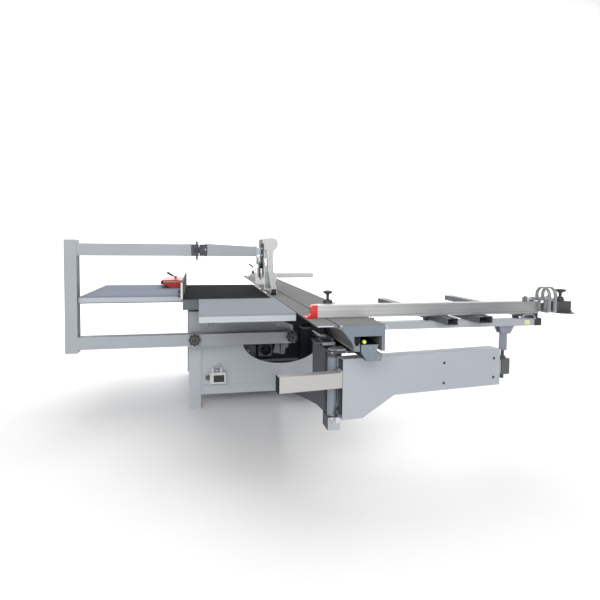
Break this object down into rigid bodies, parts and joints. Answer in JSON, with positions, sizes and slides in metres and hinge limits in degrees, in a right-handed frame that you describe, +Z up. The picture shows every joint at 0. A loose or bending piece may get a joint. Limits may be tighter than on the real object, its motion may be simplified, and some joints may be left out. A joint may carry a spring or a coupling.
{
  "type": "sliding table saw",
  "caption": "Panel saw with long sliding table, outrigger crosscut frame on a swing arm, overhead guard on a side post, rip fence and extension tables.",
  "frame": {"origin": "floor level, centre of the whole machine's footprint box", "axes": "+X from the rip-fence side towards the outrigger, +Y along the sliding table from the outfeed end to the operator's end, +Z up"},
  "size_m": [2.936, 3.2, 1.276],
  "materials": {
    "machine_paint": "satin light blue-grey powder coat",
    "arm_paint": "satin pale grey powder coat",
    "tube_paint": "satin warm grey paint",
    "blue_paint": "satin blue-grey paint",
    "black_paint": "semi-matt black paint",
    "motor_paint": "dark grey-blue paint",
    "red_paint": "gloss red paint",
    "cast_table": "ground cast iron",
    "cast_inner": "rough cast iron",
    "dark_sheet": "dark grey sheet",
    "table_sheet": "satin sheet steel top",
    "side_sheet": "satin sheet steel top",
    "ground_steel": "ground steel",
    "blade_steel": "ground steel disc with carbide teeth",
    "bright_alu": "bright anodised aluminium",
    "anodised_alu": "matt anodised aluminium",
    "fence_alu": "satin anodised aluminium",
    "bar_alu": "matt anodised aluminium",
    "dark_alu": "dark anodised aluminium",
    "white_plastic": "off-white moulded plastic",
    "dark_plastic": "black moulded plastic",
    "green_plastic": "green moulded plastic",
    "clear_shield": "smoky clear polycarbonate",
    "black_rubber": "black rubber",
    "belt_rubber": "ribbed belt rubber"
  },
  "bodies": {
    "machine_base": {"base_cabinet": "machine_paint", "main_table": "cast_table", "table_insert": "bright_alu", "outfeed_table": "table_sheet", "side_table": "side_sheet", "rip_rail": "ground_steel", "slide_beam": "blue_paint", "pivot_bracket": "machine_paint", "pivot_pole": "ground_steel", "guard_post": "machine_paint", "guard_upper_beam": "machine_paint", "guard_lower_beam": "machine_paint", "hinge_yoke": "black_paint", "readout_box": "white_plastic", "trunnion_guides": "cast_inner"},
    "side_door": {"side_door": "machine_paint"},
    "frame_knob_left": {"frame_knob_left": "dark_plastic"},
    "frame_knob_right": {"frame_knob_right": "dark_plastic"},
    "tilt_unit": {"tilt_frame": "cast_inner", "scoring_unit": "cast_inner"},
    "lift_unit": {"lift_carrier": "cast_inner", "motor": "motor_paint", "dust_hood": "dark_sheet", "drive_belt": "belt_rubber", "riving_knife": "ground_steel"},
    "main_blade": {"arbor_shaft": "ground_steel", "main_blade": "blade_steel"},
    "motor_pulley": {"motor_pulley": "ground_steel"},
    "scoring_blade": {"scoring_blade": "blade_steel"},
    "height_handwheel": {"height_handwheel": "dark_plastic"},
    "tilt_handwheel": {"tilt_handwheel": "dark_plastic"},
    "start_button": {"start_button": "green_plastic"},
    "stop_button": {"stop_button": "red_paint"},
    "carriage": {"carriage_profile": "anodised_alu", "carriage_end_caps": "blue_paint", "outrigger_rails": "machine_paint", "outrigger_bars": "bar_alu"},
    "roller_cage": {"roller_cage": "ground_steel"},
    "cross_fence": {"fence_profile": "fence_alu", "fence_foot": "ground_steel", "fence_end_stop": "red_paint"},
    "fence_knob": {"fence_knob": "dark_plastic"},
    "stop_carriage": {"stop_rod": "anodised_alu"},
    "flip_stop_left": {"flip_stop_left": "anodised_alu"},
    "flip_stop_right": {"flip_stop_right": "anodised_alu"},
    "fence_extension": {"fence_extension": "dark_alu"},
    "extension_knob": {"extension_knob": "dark_plastic"},
    "cross_bar": {"cross_bar": "bright_alu"},
    "shoe_lever": {"shoe_lever": "dark_plastic"},
    "swing_arm": {"swing_arm": "arm_paint"},
    "inner_tube": {"inner_tube": "tube_paint"},
    "support_post": {"support_post": "machine_paint"},
    "guard_arm": {"guard_arm": "machine_paint"},
    "guard_hood": {"guard_hood": "white_plastic", "guard_shield": "clear_shield"},
    "guard_roller": {"guard_roller": "black_rubber"},
    "guard_lever": {"guard_lever": "dark_plastic"},
    "rip_carrier": {"rip_carrier": "red_paint"},
    "rip_plate": {"rip_plate": "anodised_alu"},
    "rip_lever": {"rip_lever": "dark_plastic"}
  },
  "joints": [
    {"name": "door_hinge", "type": "hinge", "parent": "machine_base", "child": "side_door", "pos_m": [-0.6615, 0.552, 0.5], "axis": [0, 0, 1], "range_deg": [-110, 0]},
    {"name": "frame_knob_left_turn", "type": "hinge", "parent": "machine_base", "child": "frame_knob_left", "pos_m": [-0.612, -0.385, 0.551], "axis": [0, 1, 0], "continuous": true},
    {"name": "frame_knob_right_turn", "type": "hinge", "parent": "machine_base", "child": "frame_knob_right", "pos_m": [0.092, -0.385, 0.551], "axis": [0, 1, 0], "continuous": true},
    {"name": "tilt_swing", "type": "hinge", "parent": "machine_base", "child": "tilt_unit", "pos_m": [-0.076, 0.095, 0.86], "axis": [0, -1, 0], "range_deg": [0, 45]},
    {"name": "lift_slide", "type": "slide", "parent": "tilt_unit", "child": "lift_unit", "axis": [0, 0, 1], "range_m": [-0.03, 0.07]},
    {"name": "blade_spin", "type": "hinge", "parent": "lift_unit", "child": "main_blade", "pos_m": [-0.076, -0.045, 0.703], "axis": [1, 0, 0], "continuous": true},
    {"name": "motor_spin", "type": "hinge", "parent": "lift_unit", "child": "motor_pulley", "pos_m": [-0.188, 0.155, 0.41], "axis": [1, 0, 0], "continuous": true},
    {"name": "scoring_spin", "type": "hinge", "parent": "tilt_unit", "child": "scoring_blade", "pos_m": [-0.076, 0.235, 0.802], "axis": [1, 0, 0], "continuous": true},
    {"name": "height_wheel_turn", "type": "hinge", "parent": "machine_base", "child": "height_handwheel", "pos_m": [-0.338, 0.625, 0.52], "axis": [0, 1, 0], "range_deg": [-1200, 2800]},
    {"name": "tilt_wheel_turn", "type": "hinge", "parent": "machine_base", "child": "tilt_handwheel", "pos_m": [0.032, 0.625, 0.52], "axis": [0, 1, 0], "range_deg": [0, 4500]},
    {"name": "start_press", "type": "slide", "parent": "machine_base", "child": "start_button", "axis": [0, -1, 0], "range_m": [0, 0.004], "stiffness_N_per_m": 400},
    {"name": "stop_press", "type": "slide", "parent": "machine_base", "child": "stop_button", "axis": [0, -1, 0], "range_m": [0, 0.004], "stiffness_N_per_m": 400},
    {"name": "carriage_slide", "type": "slide", "parent": "machine_base", "child": "carriage", "axis": [0, 1, 0], "range_m": [-1.5, 0.9]},
    {"name": "cage_slide", "type": "slide", "parent": "machine_base", "child": "roller_cage", "axis": [0, 1, 0], "range_m": [-0.75, 0.45]},
    {"name": "fence_swing", "type": "hinge", "parent": "carriage", "child": "cross_fence", "pos_m": [0.08, -1.3, 0.86], "axis": [0, 0, 1], "range_deg": [0, 45]},
    {"name": "fence_knob_turn", "type": "hinge", "parent": "cross_fence", "child": "fence_knob", "pos_m": [0.08, -1.3, 0.95], "axis": [0, 0, 1], "continuous": true},
    {"name": "stop_shift", "type": "slide", "parent": "cross_fence", "child": "stop_carriage", "axis": [1, 0, 0], "range_m": [-0.9, 0]},
    {"name": "flip_left_turn", "type": "hinge", "parent": "stop_carriage", "child": "flip_stop_left", "pos_m": [1.247, -1.387, 0.9395], "axis": [1, 0, 0], "range_deg": [-100, 0]},
    {"name": "flip_right_turn", "type": "hinge", "parent": "stop_carriage", "child": "flip_stop_right", "pos_m": [1.305, -1.387, 0.9395], "axis": [1, 0, 0], "range_deg": [-100, 0]},
    {"name": "extension_slide", "type": "slide", "parent": "cross_fence", "child": "fence_extension", "axis": [1, 0, 0], "range_m": [0, 0.6]},
    {"name": "extension_knob_turn", "type": "hinge", "parent": "fence_extension", "child": "extension_knob", "pos_m": [1.416, -1.38, 0.94], "axis": [0, 0, 1], "continuous": true},
    {"name": "cross_bar_slide", "type": "slide", "parent": "carriage", "child": "cross_bar", "axis": [0, 1, 0], "range_m": [-1.2, 0.25]},
    {"name": "shoe_lever_turn", "type": "hinge", "parent": "cross_bar", "child": "shoe_lever", "pos_m": [0.014, 1.235, 0.92], "axis": [0, 0, 1], "range_deg": [-90, 90]},
    {"name": "arm_swing", "type": "hinge", "parent": "machine_base", "child": "swing_arm", "pos_m": [0.092, -1.36, 0.5], "axis": [0, 0, 1], "range_deg": [-58, 35]},
    {"name": "tube_slide", "type": "slide", "parent": "swing_arm", "child": "inner_tube", "axis": [0.9954, 0.0958, 0], "range_m": [0, 0.8]},
    {"name": "post_turn", "type": "hinge", "parent": "inner_tube", "child": "support_post", "pos_m": [1.11258, -1.31698, 0.6], "axis": [0, 0, 1], "range_deg": [-60, 60]},
    {"name": "guard_swing", "type": "hinge", "parent": "machine_base", "child": "guard_arm", "pos_m": [-0.596, -0.391, 1.18], "axis": [0, 0, 1], "range_deg": [-90, 0]},
    {"name": "guard_lift", "type": "slide", "parent": "guard_arm", "child": "guard_hood", "axis": [0, 0, 1], "range_m": [0, 0.12]},
    {"name": "guard_roller_spin", "type": "hinge", "parent": "guard_hood", "child": "guard_roller", "pos_m": [-0.048, -0.401, 0.882], "axis": [1, 0, 0], "continuous": true},
    {"name": "guard_lever_turn", "type": "hinge", "parent": "guard_hood", "child": "guard_lever", "pos_m": [-0.13, -0.28, 1.074], "axis": [1, 0, 0], "range_deg": [-40, 40]},
    {"name": "rip_slide", "type": "slide", "parent": "machine_base", "child": "rip_carrier", "axis": [1, 0, 0], "range_m": [-0.5, 0.52]},
    {"name": "rip_plate_slide", "type": "slide", "parent": "rip_carrier", "child": "rip_plate", "axis": [0, 1, 0], "range_m": [-0.1, 0.5]},
    {"name": "rip_lever_turn", "type": "hinge", "parent": "rip_carrier", "child": "rip_lever", "pos_m": [-0.778, 0.295, 0.944], "axis": [0, 1, 0], "range_deg": [0, 60]}
  ],
  "couplings": [
    {"joint": "cage_slide", "follows": "carriage_slide", "ratio": 0.5},
    {"joint": "arm_swing", "follows": "carriage_slide", "rad_per_m": 0.6667},
    {"joint": "motor_spin", "follows": "blade_spin", "ratio": 0.7273}
  ]
}
